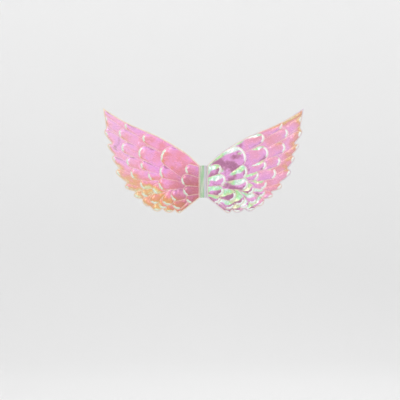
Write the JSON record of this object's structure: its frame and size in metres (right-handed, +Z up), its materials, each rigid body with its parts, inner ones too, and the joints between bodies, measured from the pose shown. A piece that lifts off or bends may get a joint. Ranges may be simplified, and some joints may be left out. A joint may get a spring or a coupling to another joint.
{
  "type": "fairy wings",
  "caption": "Child's dress-up fairy wings: two padded feather-shaped wings hinged on a sewn spine, with elastic shoulder loops.",
  "frame": {"origin": "centre of the spine's back face, which lies between the wearer's shoulder blades", "axes": "+Z up as worn, +X towards the wearer's right wing, +Y towards the wearer; the decorated face looks along -Y"},
  "size_m": [0.381, 0.0675, 0.1995],
  "materials": {
    "wing_film": "iridescent pink film on thin knit, pressed into feathers",
    "wadding": "soft polyester wadding",
    "lining": "pale pink woven polyester lining",
    "binding": "overlocked cream thread edge",
    "thread": "cream polyester thread",
    "spine_film": "iridescent green film tape",
    "webbing": "pale polyester webbing",
    "elastic": "soft knitted elastic",
    "label": "blank white satin"
  },
  "bodies": {
    "spine": {"spine_webbing": "webbing", "spine_front_tape": "spine_film", "spine_back_tape": "webbing", "spine_stitches_left": "thread", "spine_stitches_right": "thread", "left_strap_upper_end": "elastic", "left_strap_upper_tack": "thread", "left_strap_lower_end": "elastic", "left_strap_lower_tack": "thread", "right_strap_upper_end": "elastic", "right_strap_upper_tack": "thread", "right_strap_lower_end": "elastic", "right_strap_lower_tack": "thread"},
    "left_wing": {"left_wing_film": "wing_film", "left_wing_padding": "wadding", "left_wing_lining": "lining", "left_wing_edge_binding": "binding"},
    "right_wing": {"right_wing_film": "wing_film", "right_wing_padding": "wadding", "right_wing_lining": "lining", "right_wing_edge_binding": "binding", "care_label": "label"},
    "left_strap": {"left_strap": "elastic"},
    "right_strap": {"right_strap": "elastic"}
  },
  "joints": [
    {"name": "left_wing_fold", "type": "hinge", "parent": "spine", "child": "left_wing", "pos_m": [-0.00715, -0.0015, 0], "axis": [0, 0, 1], "range_deg": [-8, 85], "stiffness_Nm_per_rad": 0.01},
    {"name": "right_wing_fold", "type": "hinge", "parent": "spine", "child": "right_wing", "pos_m": [0.00715, -0.0015, 0], "axis": [0, 0, -1], "range_deg": [-8, 85], "stiffness_Nm_per_rad": 0.01},
    {"name": "left_strap_swing", "type": "hinge", "parent": "spine", "child": "left_strap", "pos_m": [-0.005, 0.0045, 0], "axis": [0, 0, -1], "range_deg": [-17, 50], "stiffness_Nm_per_rad": 0.0005},
    {"name": "right_strap_swing", "type": "hinge", "parent": "spine", "child": "right_strap", "pos_m": [0.005, 0.0045, 0], "axis": [0, 0, 1], "range_deg": [-17, 50], "stiffness_Nm_per_rad": 0.0005}
  ]
}
